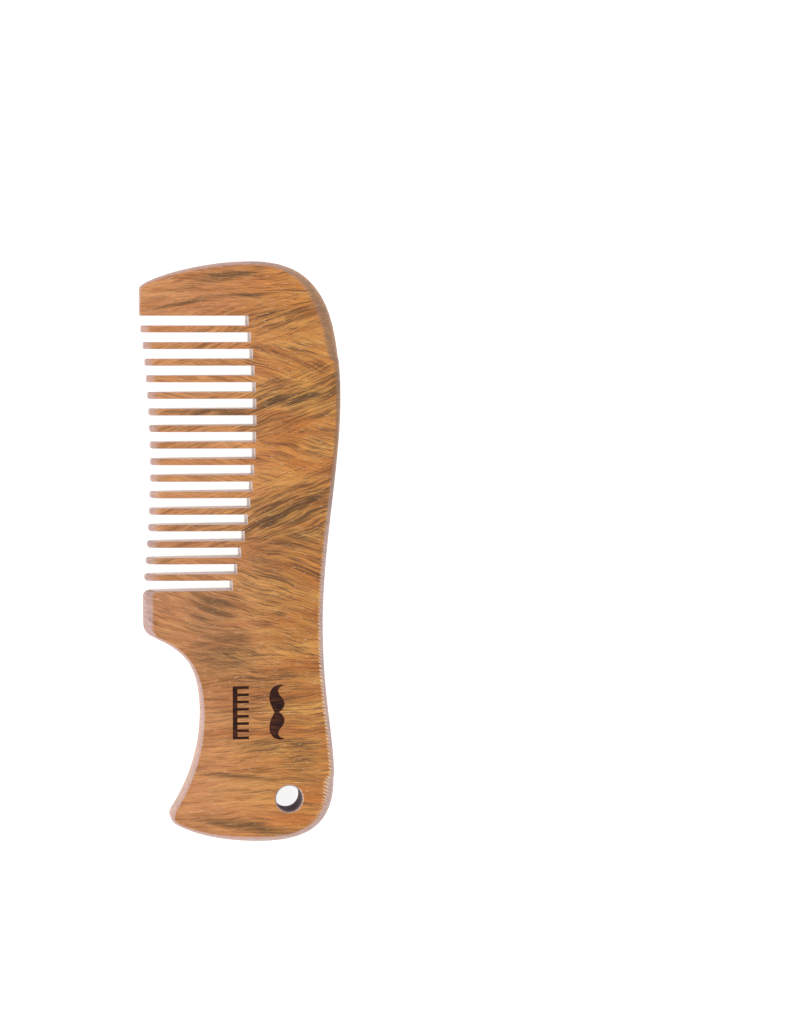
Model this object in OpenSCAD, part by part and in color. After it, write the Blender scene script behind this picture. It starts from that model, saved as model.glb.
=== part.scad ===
// Beard comb with a short handle, sawn from one flat board of hard wood.
// It lies flat: length along Y with the head at +Y, teeth towards -X, thickness along Z.
// The origin is the centre of the underside. All sizes are in millimetres.
//
// The comb is one piece, so its nodes are regions of the same board that meet face to face:
// the spine, the two broad guards that close the row of teeth, the handle and every tooth.

/* [Board] */
// Length over everything
comb_l = 76.2; // [74:0.1:78]
// Width from the end of the head guard to the back of the spine
comb_w = 26.2; // [25.4:0.1:27]
// Thickness of the spine and the handle
thick = 5; // [4:0.1:7]

/* [Teeth] */
// Number of fine teeth
teeth = 16; // [12:1:16]
// Distance from one tooth to the next
pitch = 2.16; // [2:0.01:2.16]
// Width of one tooth
tooth_w = 0.92; // [0.7:0.01:1.2]
// Height of the head guard above the first gap
head_guard_h = 7.1; // [6.5:0.1:8]
// Height of the heel guard, from the last gap down into the finger bay
heel_guard_h = 9.3; // [8.7:0.1:10]

/* [Ground faces] */
// Thickness left at the ends of the teeth
tip_thick = 2.6; // [1.6:0.1:3.8]
// Distance from the centre line to where the ground faces begin
ground_x = 3; // [2.5:0.1:5]

/* [Hanging hole] */
// Diameter of the hole
hole_d = 3.4; // [2:0.1:4.5]
// Distance of its centre to the right of the centre line
hole_x = 6.1; // [4:0.1:8]
// Distance of its centre from the end of the handle
hole_end = 5.7; // [5:0.1:9]

/* [Hidden] */
half_l = comb_l / 2;
half_w = comb_w / 2;
reach = comb_l;
wood = "#c0854f";
tooth_wood = "#ca8f63";
bezier_steps = 14;
round_fn = 64;

// Row of teeth. Gap 0 lies between the head guard and tooth 1, and the last one above the heel guard.
gap = pitch - tooth_w;
head_edge = half_l - head_guard_h;
heel_edge = head_edge - teeth * pitch - gap;
heel_foot = heel_edge - heel_guard_h;

// The spine runs on this far below the last gap before it is called the handle,
// and the teeth and guards part from it this far out from the bottoms of the gaps.
spine_overrun = 1;
setback = 0.2;
spine_foot = heel_edge - spine_overrun;
function gap_top(i) = head_edge - i * pitch;
function tooth_top(i) = gap_top(i) + tooth_w;

// The ends of the teeth and the bottoms of the gaps each lie on a shallow bow,
// given by its highest point and its radius there.
tip_bow = [-11.8, 12.1];
tip_bow_r = 142;
root_bow = [1.9, 18];
root_bow_r = 78;
function bow_x(y, peak, r) = peak.x - pow(y - peak.y, 2) / (2 * r);
function root_x(i) = bow_x(gap_top(i) - gap / 2, root_bow, root_bow_r);
function tooth_root(i) = min(root_x(i - 1), root_x(i)) - setback;
head_root = root_x(0) - setback;
heel_root = root_x(teeth) - setback;

// Outline, clockwise from the outer corner of the head guard to that of the heel guard.
// Each row is where a stretch starts, its leaving handle, and the next point's arriving handle.
heel_x = -12.8;
waist_x = 10.7;
butt_x = 12.2;
bay_x = -5.3;
edge = [
    [[-half_w, head_edge], [-half_w, head_edge + 1], [-half_w, half_l - 4.5]],     // end of the head guard
    [[-half_w, half_l - 3.5], [-half_w, half_l - 2.6], [-6, half_l]],              // top
    [[1.3, half_l], [7.2, half_l], [10, half_l - 2.3]],                            // crown
    [[half_w - 1.5, half_l - 6.5], [half_w - 0.4, half_l - 9.5], [half_w, 24.4]],  // brow
    [[half_w, 20.4], [half_w, 11], [waist_x, 1.2]],                                // back
    [[waist_x, -9.6], [waist_x, -19.4], [butt_x, -24.2]],                          // waist
    [[butt_x, 8.1 - half_l], [butt_x, 2.3 - half_l], [9.2, -half_l]],              // butt
    [[2.8, -half_l], [-1.4, -half_l], [-5.7, 0.8 - half_l]],                       // end of the handle
    [[-8.7, 2.5 - half_l], [-9.5, 3 - half_l], [-9.6, 3.6 - half_l]],              // tip of the tail
    [[-9.1, 4.3 - half_l], [-7, -30.6], [bay_x, -26.2]],                           // tail
    [[bay_x, -21.2], [bay_x, -14], [-8.4, -12.4]],                                 // finger bay
    [[-11.6, -10.9], [-12.5, -10.5], [heel_x, -10]],                               // foot of the heel guard
    [[heel_x, -9], [heel_x, -8], [heel_x, heel_edge - 1]]                          // end of the heel guard
];
toothed_end = [heel_x, heel_edge];

function on_bezier(p, t) =
    let (u = 1 - t) u*u*u * p[0] + 3*u*u*t * p[1] + 3*u*t*t * p[2] + t*t*t * p[3];
function stretch(i) = concat(edge[i], [i + 1 < len(edge) ? edge[i + 1][0] : toothed_end]);
outline = concat(
    [for (i = [0:len(edge) - 1], s = [0:bezier_steps - 1]) on_bezier(stretch(i), s / bezier_steps)],
    [for (s = [0:teeth])
        let (y = heel_edge + s * (head_edge - heel_edge) / (teeth + 1)) [bow_x(y, tip_bow, tip_bow_r), y]]
);

// Both faces are ground to a taper towards the tips, which runs out into the handle.
taper = atan((thick - tip_thick) / 2 / (ground_x + half_w));
runout_slope = 11;
runout_y = -14.5;

function tooth_name(i) = str("tooth_", i < 10 ? "0" : "", i);

// What grinding takes off the upper face
module grindings() {
    intersection() {
        translate([ground_x, 0, thick]) rotate([0, -taper, 0])
            translate([-reach, -reach, 0]) cube([reach, 2 * reach, reach]);
        translate([0, runout_y, thick]) rotate([-runout_slope, 0, 0])
            translate([-reach, 0, 0]) cube([2 * reach, reach, reach]);
    }
}

// The board, shaped and ground, before the teeth are sawn
module blank() {
    difference() {
        linear_extrude(thick) polygon(outline);
        grindings();
        translate([0, 0, thick]) mirror([0, 0, 1]) grindings();
    }
}

// A block through the whole thickness, out past the toothed edge from x_end
module block(x_end, y_low, y_high) {
    translate([-reach, y_low, -thick]) cube([reach + x_end, y_high - y_low, 3 * thick]);
}

module saw_gaps() {
    for (i = [0:teeth]) block(root_x(i), gap_top(i) - gap, gap_top(i));
}

module tooth_block(i, overlap = 0) {
    block(tooth_root(i), gap_top(i) - overlap, tooth_top(i) + overlap);
}

module head_guard_block() {
    block(head_root, head_edge, reach);
}

module heel_guard_block() {
    block(heel_root, heel_foot, heel_edge);
}

module spine() {
    color(wood) difference() {
        blank();
        saw_gaps();
        for (i = [1:teeth]) tooth_block(i, gap / 2);
        block(head_root, head_edge - gap / 2, reach);
        block(heel_root, -reach, heel_edge + gap / 2);
        block(reach, -reach, spine_foot);
    }
}

module head_guard() {
    color(wood) intersection() {
        blank();
        head_guard_block();
    }
}

module heel_guard() {
    color(wood) intersection() {
        blank();
        heel_guard_block();
    }
}

module handle() {
    color(wood) difference() {
        blank();
        block(reach, spine_foot, reach);
        block(heel_root, heel_foot, reach);
        translate([hole_x, hole_end - half_l, -thick]) cylinder(d = hole_d, h = 3 * thick, $fn = round_fn);
    }
}

module tooth(i) {
    color(tooth_wood) intersection() {
        blank();
        tooth_block(i);
    }
}

spine();
head_guard();
heel_guard();
handle();
for (i = [1:teeth]) tooth(i);
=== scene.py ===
import functools
import math

import bmesh
import bpy
import numpy as np
from mathutils import Matrix, Vector
from mathutils.geometry import delaunay_2d_cdt


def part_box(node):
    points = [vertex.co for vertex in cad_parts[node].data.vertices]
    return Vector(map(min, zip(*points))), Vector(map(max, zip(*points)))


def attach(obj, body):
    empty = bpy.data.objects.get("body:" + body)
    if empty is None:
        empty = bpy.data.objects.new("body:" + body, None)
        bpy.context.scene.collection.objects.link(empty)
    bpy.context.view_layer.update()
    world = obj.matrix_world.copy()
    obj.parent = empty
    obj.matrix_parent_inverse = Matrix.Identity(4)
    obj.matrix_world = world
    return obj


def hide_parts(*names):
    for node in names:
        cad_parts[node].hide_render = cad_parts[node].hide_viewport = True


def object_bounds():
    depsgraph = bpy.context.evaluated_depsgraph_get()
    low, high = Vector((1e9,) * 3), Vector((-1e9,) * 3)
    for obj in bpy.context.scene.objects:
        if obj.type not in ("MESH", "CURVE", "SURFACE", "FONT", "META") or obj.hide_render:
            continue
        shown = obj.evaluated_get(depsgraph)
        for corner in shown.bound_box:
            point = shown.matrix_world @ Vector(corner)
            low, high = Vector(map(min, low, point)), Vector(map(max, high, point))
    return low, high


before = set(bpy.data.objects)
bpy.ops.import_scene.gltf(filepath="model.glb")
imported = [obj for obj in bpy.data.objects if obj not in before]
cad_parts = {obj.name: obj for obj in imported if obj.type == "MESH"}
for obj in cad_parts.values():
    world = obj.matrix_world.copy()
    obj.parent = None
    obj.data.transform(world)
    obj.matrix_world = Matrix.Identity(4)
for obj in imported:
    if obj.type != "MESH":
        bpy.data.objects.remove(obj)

bl_info = {
    "name": "Beard comb",
    "version": (1, 0, 0),
    "blender": (4, 5, 0),
    "location": "3D View > Sidebar > Beard comb",
    "description": "Builds a wooden beard comb on its frame, with its finish and a small studio",
    "category": "Add Mesh",
}

# The comb is one board, so its whole surface is made once, in millimetres, and then divided
# into the spine, the two guards, the handle and the teeth, along the faces where the frame parts them.

MM = 0.001
CAD_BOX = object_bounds()


def box_mm(name):
    """Lowest and highest corner of a frame node, in millimetres."""
    low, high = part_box(name)
    return low / MM, high / MM


TEETH = sorted(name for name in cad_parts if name.startswith("tooth_"))
TOOTH_BOXES = {name: box_mm(name) for name in TEETH}
HALF_W, HALF_L, THICK = CAD_BOX[1] / MM
MID = THICK / 2
HEAD_ROOT, HEAD_EDGE = box_mm("head_guard")[1].x, box_mm("head_guard")[0].y
(HEEL_X, HEEL_FOOT, _), (HEEL_ROOT, HEEL_EDGE, _) = box_mm("heel_guard")
SPINE_FOOT = box_mm("spine")[0].y

# Bows on which the tips of the teeth and the bottoms of the gaps lie: highest point and radius
TIP_BOW = (-11.8, 12.1, 142)
ROOT_BOW = (1.9, 18, 78)

# Both faces are ground towards the tips, from this line, and the grinding runs out at the handle
GROUND_X = 3
TIP_THICK = 2.6
TAPER = (THICK - TIP_THICK) / 2 / (GROUND_X + HALF_W)
RUNOUT_Y = -14.5
RUNOUT = math.tan(math.radians(11))

HOLE = (6.1, 5.7 - HALF_L, 1.7)  # middle and radius
HEAD_CORNER = 0.2
HEEL_CORNER = 0.9
WAIST_X, BUTT_X, BAY_X = 10.7, 12.2, -5.3

# Outline, clockwise from the head guard's lower corner to the heel guard's upper one: where a stretch
# starts, its leaving handle, the next point's arriving handle, and how wide the edge is rounded there
OUTLINE = (
    ((-HALF_W, HEAD_EDGE + HEAD_CORNER), (-HALF_W, HEAD_EDGE + 1), (-HALF_W, HALF_L - 4.5), 0.12),
    ((-HALF_W, HALF_L - 3.5), (-HALF_W, HALF_L - 2.6), (-6, HALF_L), 0.24),
    ((1.3, HALF_L), (7.2, HALF_L), (10, HALF_L - 2.3), 0.5),
    ((HALF_W - 1.5, HALF_L - 6.5), (HALF_W - 0.4, HALF_L - 9.5), (HALF_W, 24.4), 1.75),
    ((HALF_W, 20.4), (HALF_W, 11), (WAIST_X, 1.2), 1.4),
    ((WAIST_X, -9.6), (WAIST_X, -19.4), (BUTT_X, -24.2), 1.15),
    ((BUTT_X, 8.1 - HALF_L), (BUTT_X, 2.3 - HALF_L), (9.2, -HALF_L), 1.25),
    ((2.8, -HALF_L), (-1.4, -HALF_L), (-5.7, 0.8 - HALF_L), 0.8),
    ((-8.7, 2.5 - HALF_L), (-9.5, 3 - HALF_L), (-9.6, 3.6 - HALF_L), 0.4),
    ((-9.1, 4.3 - HALF_L), (-7, -30.6), (BAY_X, -26.2), 0.5),
    ((BAY_X, -21.2), (BAY_X, -14), (-8.4, -12.4), 0.6),
    ((-11.6, -10.9), (-12.5, -10.5), (HEEL_X, -10), 0.6),
    ((HEEL_X, -9), (HEEL_X, -8), (HEEL_X, HEEL_EDGE - HEEL_CORNER - 0.3), 1.15),
)
OUTLINE_END = ((HEEL_X, HEEL_EDGE - HEEL_CORNER), 0.5)
# Where a seam meets the outline: the stretch, its name, and the coordinate that it has there
CROSSINGS = {1: ("head_top", 0, HEAD_ROOT), 4: ("spine_back", 1, SPINE_FOOT), 10: ("heel_bay", 1, HEEL_FOOT)}

# Section of a rounded edge: slopes from the wall up to the face, where a slight arris is left,
# as (share of the width, drop as a share of the width), and then two rings on the face
WALL_SLOPES = (90, 76, 62, 48, 36, 26, 21)
ARRIS = math.radians(21)
SECTION = [
    ((1 - math.sin(a)) / (1 - math.sin(ARRIS)), (math.cos(ARRIS) - math.cos(a)) / (1 - math.sin(ARRIS)))
    for a in map(math.radians, WALL_SLOPES)
] + [(1.1, 0), (1.5, 0)]

STATION = 0.42          # spacing of the stations round the outline, mm
TURN = math.radians(7)  # most that the outline may turn between two stations
TOOTH_STEPS = 12        # stations along the side of a tooth
HOLE_STEPS = 64         # stations round the hanging hole
CORNER_SHARE = 0.55     # widest that an edge may be rounded, as a share of a hollow corner's radius
WIDTH_SLOPE = 0.8       # most that the width may grow from one station to the next, per mm
ROUNDED_SHARE = 0.78    # most of the half thickness that a rounded edge takes up
FACE_GRID = 1.1         # spacing of the points on the faces, mm
ROW_SHARE = 0.866       # spacing of their rows, as a share of that
CLEARANCE = 0.55        # how far they stay from any line, as a share of that
NEAR = 0.01             # slack in deciding to which node a place belongs, mm
FRAME_SLACK = 0.7       # most that a piece may differ from its frame node, mm
SHARP = math.radians(32)

# Tips of the teeth, at the head end, and how much more it is at the heel end, in mm
TIP_RADIUS = (0.14, 0.3)
GRIND_DEPTH = (0.22, 0.4)
TIP_ROUNDING = 0.6      # width of a tip's rounded edge, as a share of the tip's radius


def bow_x(y, bow):
    """How far out a bow reaches at y."""
    return bow[0] - (y - bow[1]) ** 2 / (2 * bow[2])


def soft_ramp(s, blend=0.8):
    """0 below zero and s above it, with the corner rounded off."""
    if s <= -blend:
        return 0.0
    return s if s >= blend else (s + blend) ** 2 / (4 * blend)


def share_to_heel(y):
    """0 at the head end of the row of teeth and 1 at the heel end."""
    return min(1.0, max(0.0, (HEAD_EDGE - y) / (HEAD_EDGE - HEEL_EDGE)))


def tip_grind(x, y, sizes):
    """Share of the grinding that has bitten into a tooth here, and its depth in mm."""
    if not HEEL_EDGE < y < HEAD_EDGE:
        return 0.0, 0.0
    t = share_to_heel(y)
    length = sizes.tip_grind_head * (1 - t) + sizes.tip_grind_heel * t
    share = max(0.0, 1 - (x - bow_x(y, TIP_BOW)) / length)
    return min(1.0, share), (GRIND_DEPTH[0] + GRIND_DEPTH[1] * t) * min(1.0, share) ** 1.5


def half_height(x, y, sizes):
    """Half the thickness left at a place on the face."""
    taper = TAPER * soft_ramp(GROUND_X - x)
    runout = RUNOUT * soft_ramp(y - RUNOUT_Y)
    blend = min(0.3, 0.5 * (taper + runout)) + 1e-6
    h = min(1.0, max(0.0, 0.5 + (runout - taper) / (2 * blend)))
    ground = runout * (1 - h) + taper * h - blend * h * (1 - h)
    return MID - max(0.0, ground) - tip_grind(x, y, sizes)[1]


def bezier(curve, t):
    """A point on a curve given by its end points and their handles."""
    u = 1 - t
    return [u * u * u * a + 3 * u * u * t * b + 3 * u * t * t * c + t * t * t * d
            for a, b, c, d in zip(*curve)]


def bezier_cuts(curve, crossing):
    """Parameters of the stations on one stretch, one of them exactly where a seam crosses it."""
    fine = np.array([bezier(curve, s / 60) for s in range(61)])
    steps = np.diff(fine, axis=0)
    length = np.hypot(*steps.T).sum()
    turn = np.abs(np.diff(np.unwrap(np.arctan2(steps[:, 1], steps[:, 0])))).sum()
    count = max(2, math.ceil(length / STATION), math.ceil(turn / TURN))
    cuts = [s / count for s in range(count)]
    if not crossing:
        return cuts, {}
    name, axis, value = crossing
    low, high = 0.0, 1.0
    rising = curve[3][axis] > curve[0][axis]
    for _ in range(50):
        half = (low + high) / 2
        if (bezier(curve, half)[axis] < value) == rising:
            low = half
        else:
            high = half
    nearest = min(range(1, count), key=lambda k: abs(cuts[k] - low))
    cuts[nearest] = low
    return cuts, {nearest: name}


def arc(x, y, r, start, end, w, count=5):
    """Stations round a corner whose centre is x, y, without its last point."""
    angles = [math.radians(start + (end - start) * s / count) for s in range(count)]
    return [(x + r * math.cos(a), y + r * math.sin(a), w, "") for a in angles]


def straight(x0, x1, y, w0, w1, count, easing=1.0):
    """Stations along a sawn side from x0 up to but without x1."""
    return [(x0 + (x1 - x0) * t, y, w0 + (w1 - w0) * t ** easing, "")
            for t in (s / count for s in range(count))]


def outline_stations(sizes):
    """Stations clockwise round the comb: x, y, width of the rounded edge, and a seam's name or nothing."""
    stations = []
    following = [(row[0], row[3]) for row in OUTLINE[1:]] + [OUTLINE_END]
    for number, (start, leaving, arriving, w0) in enumerate(OUTLINE):
        end, w1 = following[number]
        curve = (start, leaving, arriving, end)
        cuts, names = bezier_cuts(curve, CROSSINGS.get(number))
        for k, t in enumerate(cuts):
            soft = t * t * (3 - 2 * t)
            x, y = bezier(curve, t)
            stations.append((x, y, (w0 + (w1 - w0) * soft) * sizes.edge_rounding, names.get(k, "")))
    corner_w = OUTLINE_END[1] * sizes.edge_rounding
    side = sizes.tooth_edge
    gap_end = 0.8 * side
    stations += arc(HEEL_X + HEEL_CORNER, HEEL_EDGE - HEEL_CORNER, HEEL_CORNER, 180, 90, corner_w, 8)
    stations += straight(HEEL_X + HEEL_CORNER, HEEL_ROOT, HEEL_EDGE, corner_w, side, TOOTH_STEPS, 0.5)
    stations.append((HEEL_ROOT, HEEL_EDGE, side, "heel_edge"))
    below = HEEL_EDGE
    for name in reversed(TEETH):
        low, high = TOOTH_BOXES[name]
        t = share_to_heel((low.y + high.y) / 2)
        r = TIP_RADIUS[0] + TIP_RADIUS[1] * t
        tip_w = TIP_ROUNDING * r
        middle = (below + low.y) / 2
        root = bow_x(middle, ROOT_BOW)
        stations += [(root, y, gap_end, "") for y in (below, middle, low.y)]
        stations.append((high.x, low.y, side, "low_" + name))
        stations += straight(high.x, low.x + r, low.y, side, tip_w, TOOTH_STEPS, 4)[1:]
        stations += arc(low.x + r, low.y + r, r, 270, 180, tip_w)
        stations.append((low.x, low.y + r, tip_w, ""))
        stations += arc(low.x + r, high.y - r, r, 180, 90, tip_w)
        stations += straight(low.x + r, high.x, high.y, tip_w, side, TOOTH_STEPS, 0.25)
        stations.append((high.x, high.y, side, "high_" + name))
        below = high.y
    middle = (below + HEAD_EDGE) / 2
    root = bow_x(middle, ROOT_BOW)
    stations += [(root, y, gap_end, "") for y in (below, middle, HEAD_EDGE)]
    stations.append((HEAD_ROOT, HEAD_EDGE, side, "head_edge"))
    stations += straight(HEAD_ROOT, HEAD_CORNER - HALF_W, HEAD_EDGE, side, OUTLINE[0][3], TOOTH_STEPS)[1:]
    stations += arc(HEAD_CORNER - HALF_W, HEAD_EDGE + HEAD_CORNER, HEAD_CORNER, 270, 180, OUTLINE[0][3], 4)
    return stations


def within_corners(stations):
    """The stations with their rounded edge kept narrower than the outline's own corners allow."""
    count = len(stations)
    widths, gaps = [], []
    for i, (x, y, w, _) in enumerate(stations):
        last, following = stations[i - 1], stations[(i + 1) % count]
        before = Vector((x - last[0], y - last[1]))
        after = Vector((following[0] - x, following[1] - y))
        turn = before.angle_signed(after)
        gaps.append(before.length)
        corner = (before.length + after.length) / 2 / turn if turn > 0.01 else w
        widths.append(min(w, max(0.05, CORNER_SHARE * corner)))
    for order, step in ((range(2 * count), 1), (range(2 * count, 0, -1), -1)):
        for k in order:
            i, last = k % count, (k - step) % count
            widths[i] = min(widths[i], widths[last] + WIDTH_SLOPE * gaps[i if step == 1 else last])
    return [(x, y, w, name) for (x, y, _, name), w in zip(stations, widths)]


def hole_stations(sizes):
    """Stations round the hanging hole, with the wood on their right."""
    x, y, r = HOLE
    return [(px, py, w, "") for px, py, w, _ in arc(x, y, r, 0, 360, sizes.hole_edge, HOLE_STEPS)]


def smooth_run(points, steps=5):
    """Points on a smooth line through the given ones, without the last."""
    run = [points[0], *points, points[-1]]
    made = []
    for p0, p1, p2, p3 in zip(run, run[1:], run[2:], run[3:]):
        for s in range(steps):
            t = s / steps
            made.append(tuple(
                0.5 * (2 * b + (c - a) * t + (2 * a - 5 * b + 4 * c - d) * t * t
                       + (3 * b - a - 3 * c + d) * t ** 3)
                for a, b, c, d in zip(p0, p1, p2, p3)
            ))
    return made


# The burnt mark, in millimetres: where it lies, and half of the moustache from its middle to its tip
MARK_Y = -20.9
MARK_L = 7.2
MOUSTACHE_X = 4.6
MOUSTACHE_TOP = (
    (0, 0.2), (0.5, 0.72), (1.15, 0.92), (1.8, 0.66), (2.4, 0.2), (2.95, 0.1), (3.35, 0.42), (3.5, 1.05))
MOUSTACHE_FOOT = (
    (3.5, 1.05), (3.62, 0.2), (3.25, -0.6), (2.5, -1.02), (1.6, -1.05), (0.75, -0.78), (0, -0.42))
LITTLE_COMB_X, LITTLE_COMB_L, LITTLE_COMB_BAR = -1.3, 7.0, 0.62
LITTLE_COMB_TEETH, LITTLE_TOOTH_L, LITTLE_TOOTH_W = 8, 1.5, 0.36


def mark_loops(sizes):
    """Outlines of the mark, a moustache over a little comb, read down the handle."""
    half = smooth_run(MOUSTACHE_TOP) + smooth_run(MOUSTACHE_FOOT)
    moustache = half + [(-a, b) for a, b in reversed(half + [MOUSTACHE_FOOT[-1]])][:-1]
    moustache = [(a, b + MOUSTACHE_X) for a, b in moustache]
    half_l, bar, root = LITTLE_COMB_L / 2, LITTLE_COMB_BAR, LITTLE_COMB_BAR + LITTLE_TOOTH_L
    pitch = (LITTLE_COMB_L - LITTLE_TOOTH_W) / (LITTLE_COMB_TEETH - 1)
    comb = [(half_l, 0), (-half_l, 0)]
    for k in range(LITTLE_COMB_TEETH):
        a = k * pitch - half_l
        comb += [(a, bar), (a, root), (a + LITTLE_TOOTH_W, root), (a + LITTLE_TOOTH_W, bar)]
    comb = [(a, b + LITTLE_COMB_X) for a, b in comb if not (b == bar and abs(a) > half_l - 1e-6)]
    scale = sizes.mark_length / MARK_L
    return [[(b, MARK_Y - a * scale) for a, b in loop] for loop in (moustache, comb)]


def inside(points, loop):
    """Which of the points lie inside a closed loop."""
    x, y = points[:, 0], points[:, 1]
    odd = np.zeros(len(points), bool)
    for (ax, ay), (bx, by) in zip(loop, [*loop[1:], loop[0]]):
        if ay != by:
            crosses = (ay > y) != (by > y)
            odd ^= crosses & (x < (bx - ax) * (y - ay) / (by - ay) + ax)
    return odd


def region(x, y):
    """The frame node to which a place on the board belongs."""
    if y > HEAD_EDGE - NEAR and x < HEAD_ROOT:
        return "head_guard"
    if HEEL_FOOT < y < HEEL_EDGE + NEAR and x < HEEL_ROOT:
        return "heel_guard"
    if y < SPINE_FOOT:
        return "handle"
    for name, (low, high) in TOOTH_BOXES.items():
        if low.y - NEAR < y < high.y + NEAR and x < high.x:
            return name
    return "spine"


class Surface:
    """The comb's surface: its points, with their place on a rounded edge and their share of the
    tip grinding, and its faces, each with its frame node and its material's number."""

    def __init__(self, sizes):
        self.sizes = sizes
        self.points, self.rims, self.grinds, self.faces = [], [], [], []

    def point(self, x, y, z, rim):
        self.points.append((x * MM, y * MM, z * MM))
        self.rims.append(rim)
        self.grinds.append(tip_grind(x, y, self.sizes)[0])
        return len(self.points) - 1

    def pair(self, x, y):
        """A point on the upper face and the one below it on the lower face."""
        h = half_height(x, y, self.sizes)
        return self.point(x, y, MID + h, 2), self.point(x, y, MID - h, 2)

    def edge(self, stations):
        """The rounded edge round a loop, as columns of points from the upper face to the lower."""
        columns = []
        for i, (x, y, w, _) in enumerate(stations):
            bx, by = x - stations[i - 1][0], y - stations[i - 1][1]
            following = stations[(i + 1) % len(stations)]
            ax, ay = following[0] - x, following[1] - y
            before, after = Vector((by, -bx)).normalized(), Vector((ay, -ax)).normalized()
            inward = (before + after) / max(0.5, 1 + before.dot(after))
            most = ROUNDED_SHARE * half_height(x, y, self.sizes)
            deep = min(1, most / (SECTION[0][1] * w))
            upper, lower = [], []
            for share, drop in SECTION:
                px, py = x + inward.x * w * share, y + inward.y * w * share
                h = half_height(px, py, self.sizes) - drop * w * deep
                upper.append(self.point(px, py, MID + h, share - 1))
                lower.append(self.point(px, py, MID - h, share - 1))
            columns.append(upper[::-1] + lower)
        for i, column in enumerate(columns):
            one, other = stations[i - 1], stations[i]
            node = region((one[0] + other[0]) / 2, (one[1] + other[1]) / 2)
            for k in range(len(column) - 1):
                ring = (columns[i - 1][k], column[k], column[k + 1], columns[i - 1][k + 1])
                self.faces.append((ring, node, 0))
        return columns

    def flat(self, pair):
        """Where a pair lies on the face, in millimetres."""
        return self.points[pair[0]][0] / MM, self.points[pair[0]][1] / MM


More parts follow.
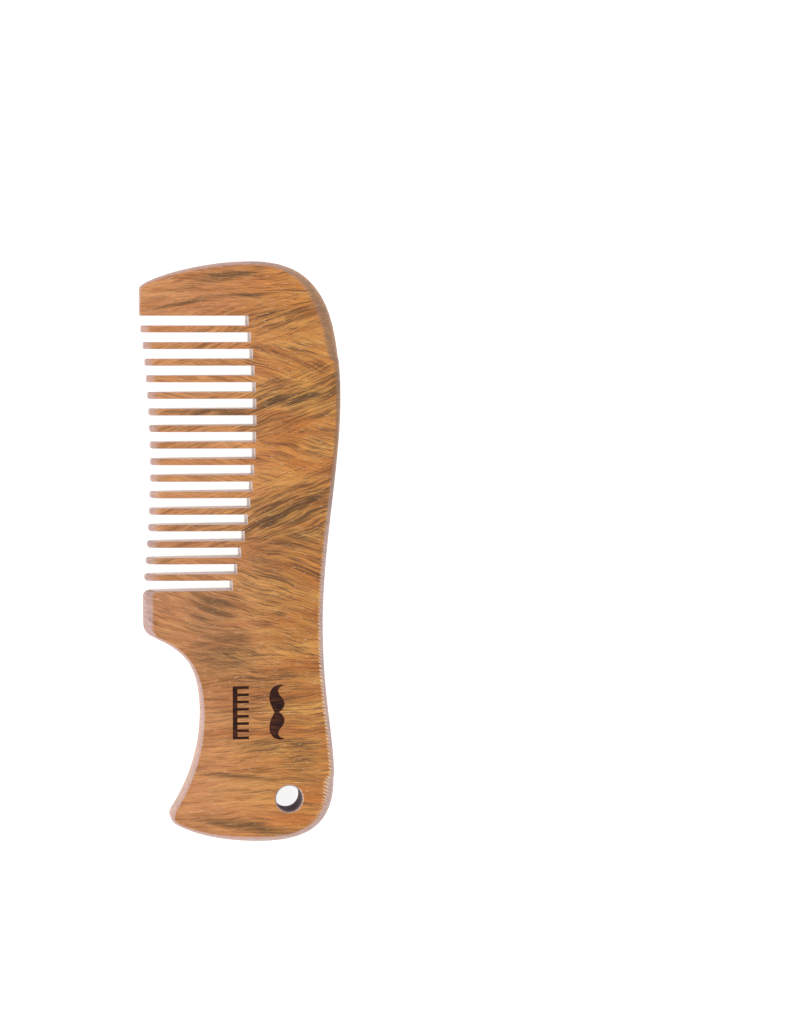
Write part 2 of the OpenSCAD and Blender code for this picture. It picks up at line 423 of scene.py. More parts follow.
class Plan:
    """The plan of both faces: pairs of points, one above the other, and the lines that tie them."""

    def __init__(self, surface, loops):
        self.surface = surface
        self.pairs = [(column[0], column[-1]) for loop in loops for column in loop]
        self.place = {pair: k for k, pair in enumerate(self.pairs)}
        self.ties, first = [], 0
        for loop in loops:
            self.ties += [(first + k, first + (k + 1) % len(loop)) for k in range(len(loop))]
            first += len(loop)
        self.outer = [surface.flat(pair) for pair in self.pairs[:len(loops[0])]]
        self.cuts, self.mark_ties, self.sunk = set(), set(), {}

    def add(self, pair):
        if pair not in self.place:
            self.place[pair] = len(self.pairs)
            self.pairs.append(pair)
        return self.place[pair]

    def tie(self, chain):
        """Ties a run of pairs, each to the next."""
        made = list(zip(chain, chain[1:]))
        self.ties += made
        return {frozenset(tie) for tie in made}

    def seam(self, a, b, nodes):
        """A straight cut between two columns, and the wall that closes the piece on each side."""
        (ax, ay), (bx, by) = self.surface.flat((a[0], a[-1])), self.surface.flat((b[0], b[-1]))
        count = max(1, round(math.hypot(bx - ax, by - ay) / FACE_GRID))
        between = [self.surface.pair(ax + (bx - ax) * s / count, ay + (by - ay) * s / count)
                   for s in range(1, count)]
        self.cuts |= self.tie([self.add(pair) for pair in ((a[0], a[-1]), *between, (b[0], b[-1]))])
        wall = [*a, *(low for _, low in between), *reversed(b), *(top for top, _ in reversed(between))]
        for node in nodes:
            self.surface.faces.append((tuple(wall), node, 0))

    def mark(self, loop):
        """An outline of the mark."""
        chain = [self.add(self.surface.pair(x, y)) for x, y in loop]
        self.mark_ties |= self.tie(chain + chain[:1])

    def fill(self):
        """Spreads points over the face, clear of the edges, the seams and the mark."""
        fixed = np.array([self.surface.flat(pair) for pair in self.pairs])
        row_step = ROW_SHARE * FACE_GRID
        rows, across = math.ceil(2 * HALF_L / row_step), math.ceil(2 * HALF_W / FACE_GRID)
        grid = np.array([(FACE_GRID * (i + 0.5 * (j % 2)) - HALF_W, row_step * j - HALF_L)
                         for j in range(rows) for i in range(across)])
        grid = grid[inside(grid, self.outer)]
        grid = grid[np.hypot(grid[:, 0] - HOLE[0], grid[:, 1] - HOLE[1]) > HOLE[2]]
        clear = np.hypot(grid[:, None, 0] - fixed[None, :, 0], grid[:, None, 1] - fixed[None, :, 1]).min(1)
        for x, y in grid[clear > CLEARANCE * FACE_GRID]:
            self.add(self.surface.pair(float(x), float(y)))

    def triangles(self):
        """The triangles between the lines, without those over the hole, and the middle of each."""
        flat = [Vector(self.surface.flat(pair)) for pair in self.pairs]
        made, _, faces, origins, _, _ = delaunay_2d_cdt(flat, self.ties, [], 1, 1e-6)
        if len(made) != len(flat) or any(len(o) != 1 for o in origins):
            raise RuntimeError(f"the faces' lines cross: {len(flat)} points became {len(made)}")
        faces = [tuple(origins[k][0] for k in face) for face in faces]
        middles = np.array([sum((flat[k] for k in face), Vector((0, 0))) / 3 for face in faces])
        rim = (HOLE[2] + SECTION[-1][0] * self.surface.sizes.hole_edge) * math.cos(math.pi / HOLE_STEPS)
        solid = np.hypot(middles[:, 0] - HOLE[0], middles[:, 1] - HOLE[1]) > rim
        return [face for face, kept in zip(faces, solid) if kept], middles[solid]

    def nodes(self, triangles, middles):
        """The frame node of every triangle, found for each patch of the face between the seams."""
        sides = [[frozenset((face[k], face[k - 1])) for k in range(3)] for face in triangles]
        beside = {}
        for t, side in ((t, side) for t, three in enumerate(sides) for side in three):
            beside.setdefault(side, []).append(t)
        found = [None] * len(triangles)
        for seed in range(len(triangles)):
            if found[seed] is not None:
                continue
            patch, waiting = {seed}, [seed]
            while waiting:
                for side in sides[waiting.pop()]:
                    fresh = [t for t in beside[side] if side not in self.cuts and t not in patch]
                    patch.update(fresh)
                    waiting += fresh
            node = region(*middles[sorted(patch)].mean(0))
            for t in patch:
                found[t] = node
        return found

    def sink(self, k):
        """The point at the bottom of the mark under a pair."""
        if k not in self.sunk:
            x, y, z = (c / MM for c in self.surface.points[self.pairs[k][0]])
            self.sunk[k] = self.surface.point(x, y, z - self.surface.sizes.mark_depth, 2)
        return self.sunk[k]

    def close(self, marks):
        """Makes both faces, with the mark sunk into the upper one."""
        triangles, middles = self.triangles()
        burnt = np.zeros(len(triangles), bool)
        for loop in marks:
            burnt |= inside(middles, loop)
        faces = self.surface.faces
        for (a, b, c), node, sunk in zip(triangles, self.nodes(triangles, middles), burnt):
            faces.append(((self.pairs[c][1], self.pairs[b][1], self.pairs[a][1]), node, 0))
            if not sunk:
                faces.append((tuple(self.pairs[k][0] for k in (a, b, c)), node, 0))
                continue
            faces.append((tuple(self.sink(k) for k in (a, b, c)), node, 1))
            for one, other in ((a, b), (b, c), (c, a)):
                if frozenset((one, other)) in self.mark_ties:
                    wall = (self.sink(one), self.pairs[one][0], self.pairs[other][0], self.sink(other))
                    faces.append((wall, node, 1))


@functools.lru_cache(maxsize=1)
def whole_surface(values):
    """The comb's surface and the faces of every piece, made once for a set of sizes."""
    surface = Surface(Sizes(*values))
    stations = within_corners(outline_stations(surface.sizes))
    outside, hole = surface.edge(stations), surface.edge(hole_stations(surface.sizes))
    posts = {name: outside[k] for k, (_, _, _, name) in enumerate(stations) if name}
    posts["heel_top"] = surface.pair(HEEL_ROOT, SPINE_FOOT)
    posts["heel_foot"] = surface.pair(HEEL_ROOT, HEEL_FOOT)
    seams = [
        ("head_edge", "head_top", ("head_guard", "spine")),
        ("heel_edge", "heel_top", ("heel_guard", "spine")),
        ("heel_top", "spine_back", ("spine", "handle")),
        ("heel_top", "heel_foot", ("heel_guard", "handle")),
        ("heel_foot", "heel_bay", ("heel_guard", "handle")),
    ] + [("low_" + name, "high_" + name, (name, "spine")) for name in TEETH]
    plan = Plan(surface, (outside, hole))
    for start, end, nodes in seams:
        plan.seam(posts[start], posts[end], nodes)
    marks = mark_loops(surface.sizes)
    for loop in marks:
        plan.mark(loop)
    plan.fill()
    plan.close(marks)
    return surface


# The lengths among the comb's sizes
LENGTHS = ("tooth_edge", "tip_grind_head", "tip_grind_heel", "hole_edge", "mark_length", "mark_depth")


class Sizes:
    """The sizes that a piece is made from, in millimetres."""

    def __init__(self, edge_rounding, *lengths):
        self.edge_rounding = edge_rounding
        for key, length in zip(LENGTHS, lengths):
            setattr(self, key, length / MM)


def piece(name, context):
    """Makes the piece that stands for one frame node, and checks its size against the frame."""
    sizes = context.scene.beard_comb_sizes
    surface = whole_surface((sizes.edge_rounding, *(getattr(sizes, key) for key in LENGTHS)))
    own = [(face, stuff) for face, node, stuff in surface.faces if node == name]
    used = sorted({k for face, _ in own for k in face})
    place = {k: n for n, k in enumerate(used)}
    mesh = bpy.data.meshes.new(name + "_wood")
    mesh.from_pydata([surface.points[k] for k in used], [], [[place[k] for k in face] for face, _ in own])
    for key, values in (("rim", surface.rims), ("ground", surface.grinds)):
        mesh.attributes.new(key, "FLOAT", "POINT").data.foreach_set("value", [values[k] for k in used])
    mesh.materials.append(wood(context))
    if any(stuff for _, stuff in own):
        mesh.materials.append(burnt_wood(context))
    mesh.polygons.foreach_set("material_index", [stuff for _, stuff in own])
    work = bmesh.new()
    work.from_mesh(mesh)
    bmesh.ops.recalc_face_normals(work, faces=work.faces)
    loose = sum(not edge.is_manifold for edge in work.edges)
    work.to_mesh(mesh)
    work.free()
    if loose:
        raise RuntimeError(f"{name} isn't closed: {loose} edges")
    mesh.polygons.foreach_set("use_smooth", [True] * len(mesh.polygons))
    mesh.set_sharp_from_angle(angle=SHARP)
    made = bpy.data.objects.new(name + "_piece", mesh)
    context.scene.collection.objects.link(made)
    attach(made, "root")
    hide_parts(name)
    low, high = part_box(name)
    for axis in range(3):
        reach = [corner[axis] for corner in made.bound_box]
        off = max(abs(min(reach) - low[axis]), abs(max(reach) - high[axis]))
        if off > FRAME_SLACK * MM:
            raise RuntimeError(f"{name} is {off / MM:.2f} mm off its frame node")
    return made


def linear(colour):
    """An sRGB hex colour as linear red, green, blue and alpha."""
    parts = [int(colour[k:k + 2], 16) / 255 for k in (1, 3, 5)]
    return (*(c / 12.92 if c <= 0.04045 else ((c + 0.055) / 1.055) ** 2.4 for c in parts), 1.0)


def add_node(tree, kind, links=None, output=0, **settings):
    """Adds a node, sets or links its inputs, and gives one of its outputs. Inputs go by name or place:
    a range runs from 1 to 2 and gives 3 to 4, and a mix's colours are 6 and 7."""
    made = tree.nodes.new(kind)
    for key, value in settings.items():
        setattr(made, key, value)
    for key, value in (links or {}).items():
        if isinstance(value, bpy.types.NodeSocket):
            tree.links.new(value, made.inputs[key])
        else:
            made.inputs[key].default_value = value
    return made.outputs[output] if len(made.outputs) else made


def new_material(name):
    """An empty node material, and the function that adds nodes to it."""
    material = bpy.data.materials.new(name)
    material.use_nodes = True
    material.node_tree.nodes.clear()
    return material, functools.partial(add_node, material.node_tree)


# Kinds of node
MATH, VECTOR, MIX, MAPPING = "ShaderNodeMath", "ShaderNodeVectorMath", "ShaderNodeMix", "ShaderNodeMapping"
NOISE, RANGED, SPLIT = "ShaderNodeTexNoise", "ShaderNodeMapRange", "ShaderNodeSeparateXYZ"

# Zones of the interlocked grain, by the distance along the comb in mm: how far the fibres
# rise to the right, how far they fall, and how dark the figure is
GRAIN_ZONES = (
    (-38, 0.0, 0.1, 0.0), (-31, 0.0, 0.3, 0.0), (-26, 0.25, 0.0, 0.15), (-17, 0.0, 0.2, 0.0),
    (-12, 0.1, 0.5, 0.15), (-4, 0.0, 1.0, 0.15), (-1, 0.1, 0.8, 0.35), (1.5, 0.6, 0.2, 0.45),
    (3.5, 1.0, 0.0, 0.85), (5.6, 1.0, 0.0, 0.6), (7.6, 0.8, 0.0, 0.1), (9.2, 0.3, 0.5, 0.0),
    (12.5, 0.0, 1.0, 0.05), (14.2, 0.3, 0.5, 0.1), (15.6, 0.9, 0.0, 0.35), (17.4, 0.9, 0.0, 0.25),
    (19, 1.0, 0.0, 0.85), (20.8, 0.7, 0.1, 0.3), (22.5, 0.0, 0.9, 0.15), (24.8, 0.0, 1.0, 0.1),
    (27, 0.5, 0.2, 0.05), (28.8, 1.0, 0.0, 0.4), (31, 0.8, 0.0, 0.1), (33, 0.2, 0.2, 0.0),
    (38, 0.1, 0.0, 0.0),
)
ZONE_SLANT = -0.25     # minus what the zones' borders rise for each mm to the right
LEANS = (20, -17, 2)   # degrees at which the fibres rise, fall or run level

# Layers of the grain: size along, across and through the fibres in mm, and how much detail
PORES = (4.2, 0.145, 0.6), 2
FIBRES = (3.0, 0.11, 0.25), 3
STREAKS = (8, 0.7, 2), 3

# Dark figure laid over them: middle x, y, half length and half width in mm, lean in degrees, strength
FIGURE = (
    (-1.2, 36.5, 4.5, 0.6, 7, 1.0), (-4.5, 35.3, 6, 0.5, 14, 0.6), (-3, 33.1, 10, 0.42, 8.6, 1.0),
    (6.5, 31.6, 5, 0.35, 12, 0.5), (6.5, 20.3, 5, 0.75, 9, 1.0), (-5, 18.4, 6, 0.5, -2, 0.9),
    (6, 5.4, 5, 0.7, 21, 0.6), (6, 1.5, 5, 1.8, 10, 0.2), (-4, -7, 3.5, 3.0, 15, 0.8),
    (-2.5, -13, 4.4, 3.6, 5, 0.8), (2, -18, 6, 4, 0, 0.3), (2, -2, 3, 3, 20, 0.25),
    (4.5, -25.6, 6, 1.0, -4, 0.5), (8.5, -27.5, 3, 3.6, 0, 0.45), (-1, -29, 6, 0.4, -7, 0.8),
    (1, -31.2, 6, 0.35, -6, 0.6), (0, -35.8, 6.5, 0.8, -8, 1.0),
)
HEEL_SHEEN_BAND = 1.2        # width of the band at the end of the heel guard where painted reflection lies, mm
GLINT_PITCH = 0.4          # distance from one painted glint to the next on the back's arris, mm


class Grain:
    """Where the wood's colours are looked up, and the fibres that they follow."""

    def __init__(self, put):
        self.put = put
        here = put("ShaderNodeTexCoord", output=3)
        self.here = put(VECTOR, {0: here, "Scale": 1 / MM}, operation="SCALE")
        # the fibres wander by about a millimetre over a centimetre
        wander = put(MAPPING, {0: self.here, "Scale": (13, 7, 9)}, vector_type="TEXTURE")
        wander = put(NOISE, {"Vector": wander, "Scale": 1, "Detail": 2}, output=1)
        wander = put(VECTOR, {0: wander, 1: (0.5, 0.5, 0.5)}, operation="SUBTRACT")
        wander = put(VECTOR, {0: wander, 1: (2.0, 3.0, 2.0)}, operation="MULTIPLY")
        self.bent = put(VECTOR, {0: self.here, 1: wander}, operation="ADD")
        self.x, self.y = put(SPLIT, {0: self.here}), put(SPLIT, {0: self.here}, output=1)
        self.rim = put("ShaderNodeAttribute", {}, 2, attribute_name="rim")
        self.ground = put("ShaderNodeAttribute", {}, 2, attribute_name="ground")
        self.shares, self.band = self.zones()
        self.pores, self.fibres, self.streaks = (self.layer(*kind) for kind in (PORES, FIBRES, STREAKS))

    def zones(self):
        """Shares of fibres that rise, fall and run level, and how dark the figure is in this zone."""
        slanted = self.put(SPLIT, {0: self.bent}, output=1)
        slanted = self.put(MATH, {0: self.x, 1: ZONE_SLANT, 2: slanted}, operation="MULTIPLY_ADD")
        along = self.put(RANGED, {0: slanted, 1: -HALF_L, 2: HALF_L, 3: 0, 4: 1})
        zones = self.put("ShaderNodeValToRGB", {0: along})
        ramp = zones.node.color_ramp
        for number, (place, rise, fall, dark) in enumerate(GRAIN_ZONES):
            at = min(1.0, max(0.0, (place + HALF_L) / (2 * HALF_L)))
            stop = ramp.elements[number] if number < 2 else ramp.elements.new(at)
            stop.position, stop.color = at, (rise, fall, dark, 1)
        rise = self.put("ShaderNodeSeparateColor", {0: zones})
        fall, dark = rise.node.outputs[1], rise.node.outputs[2]
        level = self.put(MATH, {0: 1, 1: rise}, operation="SUBTRACT")
        level = self.put(MATH, {0: level, 1: fall}, operation="SUBTRACT", use_clamp=True)
        return (rise, fall, level), dark

    def layer(self, size, detail):
        """Noise drawn out along the fibres, mixed from the three leans by their shares."""
        mixed = None
        for share, lean in zip(self.shares, LEANS):
            spot = self.put(MAPPING, {0: self.bent, "Rotation": (0, 0, math.radians(lean)), "Scale": size},
                            vector_type="TEXTURE")
            spot = self.put(NOISE, {"Vector": spot, "Scale": 1, "Detail": detail, "Roughness": 0.6})
            spot = self.put(MATH, {0: spot, 1: share}, operation="MULTIPLY")
            mixed = spot if mixed is None else self.put(MATH, {0: mixed, 1: spot}, operation="ADD")
        return mixed

    def figure(self):
        """Share of the olive-brown figure: the dark zones, paler among the teeth, and the patches."""
        put = self.put
        figure = put(MATH, {0: self.band, 1: 0.9}, operation="MULTIPLY")
        inner = put(RANGED, {0: self.x, 1: -2, 2: 4, 3: 0.45, 4: 1})
        figure = put(MATH, {0: figure, 1: inner}, operation="MULTIPLY")
        for x, y, half_length, half_width, lean, strength in FIGURE:
            spot = put(MAPPING, {0: self.bent, "Location": (x, y, 0), "Rotation": (0, 0, math.radians(lean)),
                                 "Scale": (half_length, half_width, 40)}, vector_type="TEXTURE")
            spot = put(VECTOR, {0: spot}, 1, operation="LENGTH")
            spot = put(RANGED, {0: spot, 1: 1.35, 2: 0.2, 3: 0, 4: strength}, interpolation_type="SMOOTHSTEP")
            figure = put(MATH, {0: figure, 1: spot}, operation="ADD")
        broken = put(RANGED, {0: self.streaks, 1: 0.36, 2: 0.6, 3: 0.35, 4: 1.1})
        return put(MATH, {0: figure, 1: broken}, operation="MULTIPLY", use_clamp=True)

    def together(self, first, *others):
        """Several shares multiplied into one."""
        for other in others:
            first = self.put(MATH, {0: first, 1: other}, operation="MULTIPLY")
        return first


def heartwood(grain, colours):
    """Orange-brown heartwood with paler bands and browner streaks, and painted bounce light that makes it
    paler and pinker towards the teeth.
    """
    put = grain.put
    tone = put(MAPPING, {0: grain.bent, "Scale": (12, 2.2, 3)}, vector_type="TEXTURE")
    tone = put(NOISE, {"Vector": tone, "Scale": 1, "Detail": 3, "Roughness": 0.6})
    tone = put(RANGED, {0: tone, 1: 0.36, 2: 0.64, 3: 0, 4: 1})
    colour = put(MIX, {0: tone, 6: colours.heartwood, 7: colours.pale}, 2, data_type="RGBA")
    # painted bounce light from the pale floor: paler and pinker towards the teeth
    rosy_bounce = put(RANGED, {0: grain.x, 1: 7, 2: -5, 3: 0, 4: 0.6})
    colour = put(MIX, {0: rosy_bounce, 6: colour, 7: colours.rosy_bounce}, 2, data_type="RGBA")
    brown = put(RANGED, {0: grain.streaks, 1: 0.46, 2: 0.66, 3: 0, 4: 0.8})
    return put(MIX, {0: brown, 6: colour, 7: colours.brown}, 2, data_type="RGBA")


def grained(grain, colours, colour):
    """Figure, fibres and open pores over the heartwood, and the depth of the pores."""
    put = grain.put
    figure = grain.figure()
    shade = put(MATH, {0: figure, 1: 0.62}, operation="MULTIPLY")
    colour = put(MIX, {0: shade, 6: colour, 7: colours.figure}, 2, data_type="RGBA")
    light = put(RANGED, {0: grain.fibres, 1: 0.3, 2: 0.7, 3: 0.66, 4: 1.34})
    colour = put(VECTOR, {0: colour, 1: light}, operation="MULTIPLY")
    # hands have darkened the grip a little
    handled = put(RANGED, {0: grain.y, 1: 12, 2: -8, 3: 1.04, 4: 0.93})
    tail = put(RANGED, {0: grain.y, 1: -20, 2: -27, 3: 0.93, 4: 1})
    handled = put(MATH, {0: handled, 1: tail}, operation="MAXIMUM")
    colour = put(VECTOR, {0: colour, 1: handled}, operation="MULTIPLY")
    # the pores crowd together in the figure, and are finer in the teeth and in the tail
    deep = put(MATH, {0: figure, 1: 0.09, 2: grain.pores}, operation="MULTIPLY_ADD")
    deep = put(RANGED, {0: deep, 1: 0.515, 2: 0.61, 3: 0, 4: 1}, interpolation_type="SMOOTHSTEP")
    crowded = put(MATH, {0: figure, 1: 0.22, 2: 0.66}, operation="MULTIPLY_ADD")
    in_teeth = put(RANGED, {0: grain.x, 1: -3, 2: 1, 3: 0.6, 4: 1})
    in_tail = put(RANGED, {0: grain.y, 1: -30, 2: -22, 3: 0.75, 4: 1})
    dark = grain.together(deep, crowded, in_teeth, in_tail)
    colour = put(MIX, {0: dark, 6: colour, 7: colours.pores}, 2, data_type="RGBA")
    # painted glints about 0.2 mm wide where the fibres end in the surface
    glint = put(MAPPING, {0: grain.bent, "Scale": (0.7, 0.22, 0.3), "Rotation": (0, 0, 0.1)},
                vector_type="TEXTURE")
    glint = put(NOISE, {"Vector": glint, "Scale": 1, "Detail": 1})
    glint = put(RANGED, {0: glint, 1: 0.63, 2: 0.78, 3: 0, 4: 0.3})
    return put(MIX, {0: glint, 6: colour, 7: colours.glint}, 2, data_type="RGBA"), deep


def edges_dust_and_light(grain, colours, colour):
    """The rounded edges: paler with the dust of sanding across the fibres and with painted sheen, with
    painted shade at the back of the head, and painted glints along the back's arris.
    """
    put = grain.put
    rounded = put(RANGED, {0: grain.rim, 1: 0.08, 2: -0.3, 3: 0, 4: 1}, interpolation_type="SMOOTHSTEP")
    # painted reflection of the white table on the bevelled end of the heel guard
    band = HEEL_X + HEEL_SHEEN_BAND
    heel_sheen = put(RANGED, {0: grain.x, 1: band + 0.15, 2: band - 0.15, 3: 0, 4: 0.85})
    heel_side = put(MATH, {0: grain.y, 1: HEEL_EDGE - 0.05}, operation="LESS_THAN")
    heel_sheen = grain.together(heel_sheen, heel_side)
    rounded = put(MATH, {0: rounded, 1: heel_sheen}, operation="MAXIMUM")
    # painted shade on the edges at the right of the head, which face away from the light, over darker end
    # grain
    right = put(RANGED, {0: grain.x, 1: 1, 2: 9, 3: 0, 4: 1})
    upper = put(RANGED, {0: grain.y, 1: 0, 2: 14, 3: 0, 4: 1})
    browner = grain.together(right, upper)
    dust_and_sheen_colour = put(MIX, {0: browner, 6: colours.edge, 7: colours.shaded_brown_edge}, 2, data_type="RGBA")
    speckle = put(NOISE, {"Vector": grain.here, "Scale": 3.2, "Detail": 2, "Roughness": 0.7})
    speckle = put(RANGED, {0: speckle, 1: 0.35, 2: 0.65, 3: 0.5, 4: 1})
    # the walls below the rounding keep more of their own colour
    wall = put(RANGED, {0: grain.rim, 1: -0.8, 2: -0.98, 3: 0.9, 4: 0.36})
    # paler dust of the sanding on the rounded edges, with painted sheen of the white room
    dust_and_sheen = grain.together(rounded, speckle, wall)
    colour = put(MIX, {0: dust_and_sheen, 6: colour, 7: dust_and_sheen_colour}, 2, data_type="RGBA")

    # painted glints on the fibre ends along the back's arris, more of them towards the foot
    glint_ticks = put(MAPPING, {0: grain.here, "Rotation": (0, 0, -0.5), "Scale": (3, GLINT_PITCH, 3)},
                vector_type="TEXTURE")
    glint_ticks = put("ShaderNodeTexWave", {"Vector": glint_ticks, "Scale": 0.314, "Distortion": 4, "Detail": 2,
                                      "Detail Scale": 1.2}, 1, bands_direction="Y")
    glint_ticks = put(RANGED, {0: glint_ticks, 1: 0.4, 2: 0.7, 3: 0, 4: 1})
    outside = put(RANGED, {0: grain.rim, 1: -0.6, 2: -0.25, 3: 0, 4: 1})
    within = put(RANGED, {0: grain.rim, 1: 0.3, 2: 0.08, 3: 0, 4: 1})
    lower = put(RANGED, {0: grain.y, 1: 10, 2: -16, 3: 0, 4: 1})
    back = put(RANGED, {0: grain.x, 1: 6, 2: 8, 3: 0, 4: 1})
    patchy = put(RANGED, {0: speckle, 1: 0.55, 2: 0.95, 3: 0.5, 4: 1})
    foot = put(RANGED, {0: grain.y, 1: -36, 2: -31, 3: 0, 4: 1})
    glint_ticks = grain.together(glint_ticks, outside, within, lower, back, patchy, foot)
    return put(MIX, {0: glint_ticks, 6: colour, 7: colours.glint}, 2, data_type="RGBA")


def cut(grain, colours, colour):
    """The walls of the gaps, saw-cut wood paler than the faces with painted light from the white table on it,
    the hole's wall darkened with painted shade, and the ground tips, paler with painted sheen. Also gives the
    share of the hole's wall.
    """
    put = grain.put
    # painted light from the white table on the walls of the gaps, over saw-cut wood that is paler
    wall = put(RANGED, {0: grain.rim, 1: -0.5, 2: -0.9, 3: 0, 4: 0.75})
    root = put(RANGED, {0: grain.x, 1: 3, 2: 2.6, 3: 0, 4: 1})
    tip = put(RANGED, {0: grain.x, 1: -12, 2: -11, 3: 0, 4: 1})
    low = put(MATH, {0: grain.y, 1: HEEL_EDGE - 0.05}, operation="GREATER_THAN")
    high = put(MATH, {0: grain.y, 1: HEAD_EDGE + 0.05}, operation="LESS_THAN")
    lit_sawn_wall = grain.together(wall, root, tip, low, high)
    colour = put(MIX, {0: lit_sawn_wall, 6: colour, 7: colours.lit_sawn_wall}, 2, data_type="RGBA")

    # painted shade darkens the wall of the hole, which is also made matt
    shaded_hole_wall = put(VECTOR, {0: grain.here, 1: (HOLE[0], HOLE[1], 0)}, operation="SUBTRACT")
    shaded_hole_wall = put(VECTOR, {0: shaded_hole_wall, 1: (1, 1, 0)}, operation="MULTIPLY")
    shaded_hole_wall = put(VECTOR, {0: shaded_hole_wall}, 1, operation="LENGTH")
    shaded_hole_wall = put(RANGED, {0: shaded_hole_wall, 1: HOLE[2] + 0.12, 2: HOLE[2] + 0.02, 3: 0, 4: 0.95})
    colour = put(MIX, {0: shaded_hole_wall, 6: colour, 7: colours.shaded_hole_wall}, 2, data_type="RGBA")

    # the ground tips take the pale edge colour: paler scraped wood with painted sheen
    ground = put(RANGED, {0: grain.ground, 1: 0.05, 2: 0.6, 3: 0, 4: 0.45})
    return put(MIX, {0: ground, 6: colour, 7: colours.edge}, 2, data_type="RGBA"), shaded_hole_wall


def wood(context):
    """Oiled sandalwood: open pores that lean one way and then the other in interlocked bands,
    olive-brown figure, and a satin surface that catches a broad soft light."""
    if "oiled_sandalwood" in bpy.data.materials:
        return bpy.data.materials["oiled_sandalwood"]
    colours = context.scene.beard_comb_colours
    material, put = new_material("oiled_sandalwood")
    grain = Grain(put)
    colour, deep = grained(grain, colours, heartwood(grain, colours))
    colour, shaded_hole_wall = cut(grain, colours, edges_dust_and_light(grain, colours, colour))
    # the pores hold no oil, and the hole's wall, where shade is painted, is matt too
    rough = put(RANGED, {0: deep, 1: 0, 2: 1, 3: 0.4, 4: 0.6})
    rough = put(MATH, {0: rough, 1: shaded_hole_wall}, operation="MAXIMUM")
    shine = put(RANGED, {0: shaded_hole_wall, 1: 0, 2: 0.9, 3: 0.5, 4: 0.05})
    coat = put(RANGED, {0: shaded_hole_wall, 1: 0, 2: 0.9, 3: 0.08, 4: 0})
    height = put(MATH, {0: deep, 1: -0.8, 2: grain.fibres}, operation="MULTIPLY_ADD")
    bump = put("ShaderNodeBump", {"Strength": 0.35, "Distance": 0.05 * MM, "Height": height})
    shader = put("ShaderNodeBsdfPrincipled", {
        "Base Color": colour, "Roughness": rough, "IOR": 1.5, "Normal": bump,
        "Specular IOR Level": shine, "Coat Weight": coat, "Coat Roughness": 0.35})
    put("ShaderNodeOutputMaterial", {"Surface": shader})
    return material


def burnt_wood(context):
    """Sandalwood charred by a hot stamp: almost black, with the red-brown of scorched fibres, and matt."""
    if "burnt_sandalwood" in bpy.data.materials:
        return bpy.data.materials["burnt_sandalwood"]
    colours = context.scene.beard_comb_colours
    material, put = new_material("burnt_sandalwood")
    here = put("ShaderNodeTexCoord", output=3)
    here = put(VECTOR, {0: here, "Scale": 1 / MM}, operation="SCALE")
    fibres = put(MAPPING, {0: here, "Scale": (1.5, 0.2, 0.3)}, vector_type="TEXTURE")
    fibres = put(NOISE, {"Vector": fibres, "Scale": 1, "Detail": 3})
    share = put(RANGED, {0: fibres, 1: 0.4, 2: 0.75, 3: 0, 4: 1})
    colour = put(MIX, {0: share, 6: colours.burnt, 7: colours.scorched}, 2, data_type="RGBA")
    bump = put("ShaderNodeBump", {"Strength": 0.5, "Distance": 0.05 * MM, "Height": fibres})
    shader = put("ShaderNodeBsdfPrincipled", {
        "Base Color": colour, "Roughness": 0.85, "Specular IOR Level": 0.25, "Normal": bump})
    put("ShaderNodeOutputMaterial", {"Surface": shader})
    return material


def colour_property(name, description, colour):
    return bpy.props.FloatVectorProperty(
        name=name, description=description, default=linear(colour), size=4, subtype="COLOR", min=0, max=1)


def length_property(name, description, mm, most):
    return bpy.props.FloatProperty(
        name=name, description=description, default=mm * MM, min=0.02 * MM, max=most * MM,
        subtype="DISTANCE", unit="LENGTH", precision=5)


class BeardCombSizes(bpy.types.PropertyGroup):
    edge_rounding: bpy.props.FloatProperty(
        name="Edge rounding", description="Width of the rounded edges, as a share of the usual one",
        default=1, min=0.3, max=1.1, subtype="FACTOR")
    tooth_edge: length_property("Tooth edge", "How far the edges of the teeth are eased", 0.13, 0.2)
    tip_grind_head: length_property("Tip grind, head", "Length ground off the first tooth's tip", 0.45, 2)
    tip_grind_heel: length_property("Tip grind, heel", "Length ground off the last tooth's tip", 1.7, 3)
    hole_edge: length_property("Hole edge", "How far the edge of the hanging hole is eased", 0.22, 0.5)
    mark_length: length_property("Mark length", "Length of the burnt mark", MARK_L, 9)
    mark_depth: length_property("Mark depth", "Depth of the burnt mark", 0.12, 0.3)


class BeardCombColours(bpy.types.PropertyGroup):
    heartwood: colour_property("Heartwood", "Main colour of the wood", "#ba6f2a")
    pale: colour_property("Pale wood", "Lighter bands", "#d19348")
    # painted bounce light that makes the wood paler and pinker towards the teeth
    rosy_bounce: colour_property("Rosy wood", "Pinker wood towards the teeth", "#c6875c")
    brown: colour_property("Brown streaks", "Darker bands along the fibres", "#98581c")
    figure: colour_property("Figure", "Olive-brown figure", "#684914")
    pores: colour_property("Pores", "Open pores", "#4e2c0c")
    # painted glints, in small spots over the faces and along the back's arris
    glint: colour_property("Flecks", "Pale flecks and chatter", "#e6c8a4")
    # paler dust of the sanding with painted sheen of the white room on the rounded edges; also laid on the
    # ground tips
    edge: colour_property("Sanded edge", "Rounded edges towards the teeth and the foot", "#bfa8aa")
    # darker end grain with painted shade where the edge faces away from the light
    shaded_brown_edge: colour_property("Brown edge", "Rounded edge at the back of the head", "#8d6a50")
    # saw-cut wood with painted light from the white table
    lit_sawn_wall: colour_property("Sawn walls", "Walls of the gaps between the teeth", "#f2e8e2")
    # painted shade in the hanging hole
    shaded_hole_wall: colour_property("Drilled wall", "Wall of the hanging hole", "#75686e")
    burnt: colour_property("Burnt mark", "Charred wood", "#1e0a07")
    scorched: colour_property("Scorched wood", "Redder fibres in the mark", "#5a2c1a")


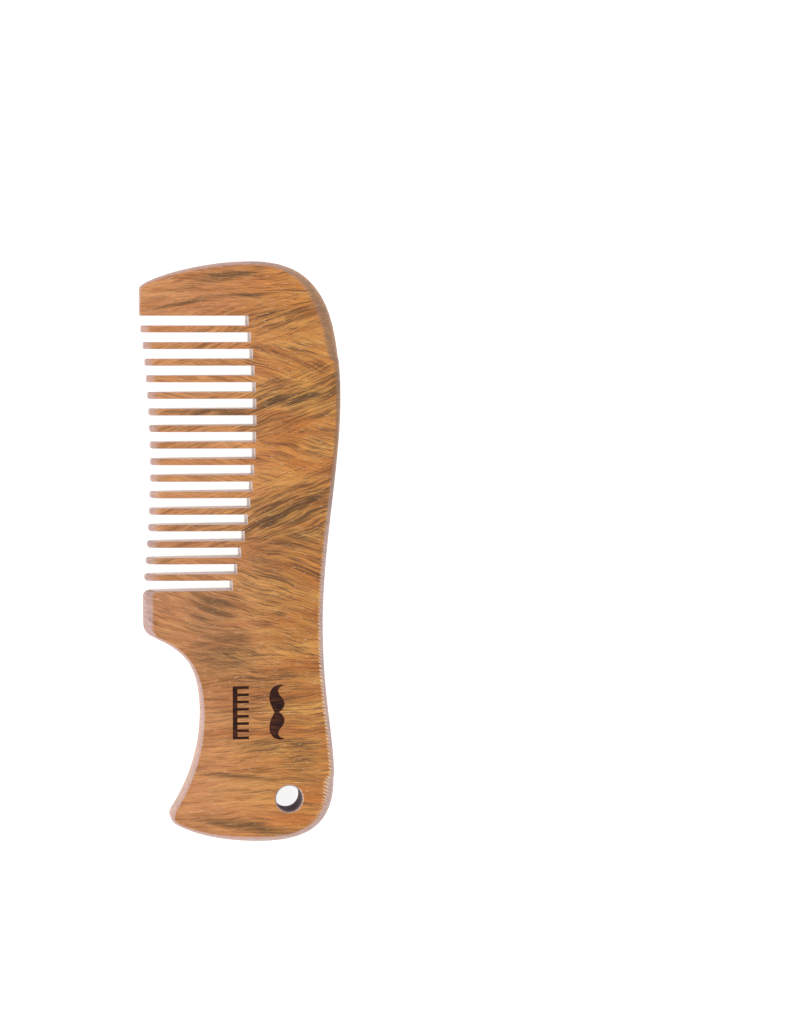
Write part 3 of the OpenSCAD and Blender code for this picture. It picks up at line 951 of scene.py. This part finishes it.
class BeardCombStudio(bpy.types.PropertyGroup):
    floor: colour_property("Floor", "Colour of the light table's opal top", "#b4b4b4")
    glow: bpy.props.FloatProperty(
        name="Floor glow", description="How strongly the light table glows", default=0.85, min=0)
    key: bpy.props.FloatProperty(
        name="Main light", description="Power of the soft main light", default=1.15, min=0, unit="POWER")
    fill: bpy.props.FloatProperty(
        name="Fill light", description="Power of the soft fill light", default=0.5, min=0, unit="POWER")
    sky: bpy.props.FloatProperty(
        name="Room light", description="Strength of the even white light all round", default=0.58, min=0)
    lens: bpy.props.FloatProperty(
        name="Lens", description="Focal length", default=106.95, min=50, max=200, subtype="DISTANCE_CAMERA")


class BEARDCOMB_OT_spine(bpy.types.Operator):
    """Build the solid back above the teeth"""
    bl_idname = "beardcomb.spine"
    bl_label = "Spine"

    def execute(self, context):
        piece("spine", context)
        return {"FINISHED"}


class BEARDCOMB_OT_guards(bpy.types.Operator):
    """Build the broad guards at both ends of the row of teeth"""
    bl_idname = "beardcomb.guards"
    bl_label = "Guards"

    def execute(self, context):
        for name in ("head_guard", "heel_guard"):
            piece(name, context)
        return {"FINISHED"}


class BEARDCOMB_OT_handle(bpy.types.Operator):
    """Build the handle with its finger bay, tail, hanging hole and burnt mark"""
    bl_idname = "beardcomb.handle"
    bl_label = "Handle"

    def execute(self, context):
        piece("handle", context)
        return {"FINISHED"}


class BEARDCOMB_OT_teeth(bpy.types.Operator):
    """Build the row of fine teeth"""
    bl_idname = "beardcomb.teeth"
    bl_label = "Teeth"

    def execute(self, context):
        for name in TEETH:
            piece(name, context)
        return {"FINISHED"}


def area_light(context, name, place, size, power):
    """A soft square light that looks at the comb. Its place and size are in millimetres."""
    light = bpy.data.lights.new(name, "AREA")
    light.shape, light.size, light.energy = "SQUARE", size * MM, power
    lamp = bpy.data.objects.new(name, light)
    lamp.location = Vector(place) * MM
    lamp.rotation_euler = (-Vector(place)).to_track_quat("-Z", "Y").to_euler()
    context.scene.collection.objects.link(lamp)


# Where things stand in the studio, in millimetres
FLOOR_REACH, FLOOR_DEPTH = 3000, 0.02
KEY_PLACE, KEY_SIZE = (-260, -160, 330), 260
FILL_PLACE, FILL_SIZE = (260, 220, 300), 320
CAMERA_PLACE = Vector((-36, 31, 400))
CAMERA_AIM = Vector((21.19, 5.11, MID))


class BEARDCOMB_OT_studio(bpy.types.Operator):
    """Build the pale floor, the soft lights and the camera"""
    bl_idname = "beardcomb.studio"
    bl_label = "Studio"

    def execute(self, context):
        studio = context.scene.beard_comb_studio
        material, put = new_material("opal_light_table")
        shader = put("ShaderNodeBsdfPrincipled", {
            "Base Color": studio.floor, "Roughness": 0.9,
            "Emission Color": (1, 1, 1, 1), "Emission Strength": studio.glow})
        put("ShaderNodeOutputMaterial", {"Surface": shader})
        mesh = bpy.data.meshes.new("floor")
        reach, z = FLOOR_REACH * MM, -FLOOR_DEPTH * MM
        mesh.from_pydata([(-reach, -reach, z), (reach, -reach, z), (reach, reach, z), (-reach, reach, z)],
                         [], [(0, 1, 2, 3)])
        mesh.materials.append(material)
        floor = bpy.data.objects.new("floor", mesh)
        context.scene.collection.objects.link(floor)

        area_light(context, "key", KEY_PLACE, KEY_SIZE, studio.key)
        area_light(context, "fill", FILL_PLACE, FILL_SIZE, studio.fill)
        room = bpy.data.worlds.new("room")
        room.use_nodes = True
        backdrop = room.node_tree.nodes["Background"]
        backdrop.inputs["Color"].default_value = (1, 1, 1, 1)
        backdrop.inputs["Strength"].default_value = studio.sky
        context.scene.world = room
        context.scene.view_settings.view_transform = "Standard"

        camera = bpy.data.cameras.new("camera")
        camera.lens, camera.sensor_width = studio.lens, 36
        camera.clip_start, camera.clip_end = 10 * MM, 10
        stand = bpy.data.objects.new("camera", camera)
        forward = (CAMERA_AIM - CAMERA_PLACE).normalized()
        right = forward.cross(Vector((0, 1, 0))).normalized()
        up = right.cross(forward)
        turned = Matrix((right, up, -forward)).transposed().to_4x4()
        stand.matrix_world = Matrix.Translation(CAMERA_PLACE * MM) @ turned
        context.scene.collection.objects.link(stand)
        context.scene.camera = stand
        return {"FINISHED"}


STEPS = (
    BEARDCOMB_OT_spine, BEARDCOMB_OT_guards, BEARDCOMB_OT_handle, BEARDCOMB_OT_teeth, BEARDCOMB_OT_studio)


class BEARDCOMB_PT_panel(bpy.types.Panel):
    """The comb's sizes, colours and pieces"""
    bl_idname = "BEARDCOMB_PT_panel"
    bl_label = "Beard comb"
    bl_space_type = "VIEW_3D"
    bl_region_type = "UI"
    bl_category = "Beard comb"

    def draw(self, context):
        for group in (context.scene.beard_comb_sizes, context.scene.beard_comb_colours,
                      context.scene.beard_comb_studio):
            box = self.layout.box()
            for key in group.bl_rna.properties.keys():
                if key not in ("rna_type", "name"):
                    box.prop(group, key)
        for step in STEPS:
            self.layout.operator(step.bl_idname)


CLASSES = (BeardCombSizes, BeardCombColours, BeardCombStudio, *STEPS, BEARDCOMB_PT_panel)


def register():
    for cls in CLASSES:
        bpy.utils.register_class(cls)
    bpy.types.Scene.beard_comb_sizes = bpy.props.PointerProperty(type=BeardCombSizes)
    bpy.types.Scene.beard_comb_colours = bpy.props.PointerProperty(type=BeardCombColours)
    bpy.types.Scene.beard_comb_studio = bpy.props.PointerProperty(type=BeardCombStudio)


def unregister():
    for key in ("beard_comb_sizes", "beard_comb_colours", "beard_comb_studio"):
        delattr(bpy.types.Scene, key)
    for cls in reversed(CLASSES):
        bpy.utils.unregister_class(cls)


def main():
    register()
    for step in STEPS:
        group, name = step.bl_idname.split(".")
        getattr(getattr(bpy.ops, group), name)()


if __name__ == "__main__":
    main()
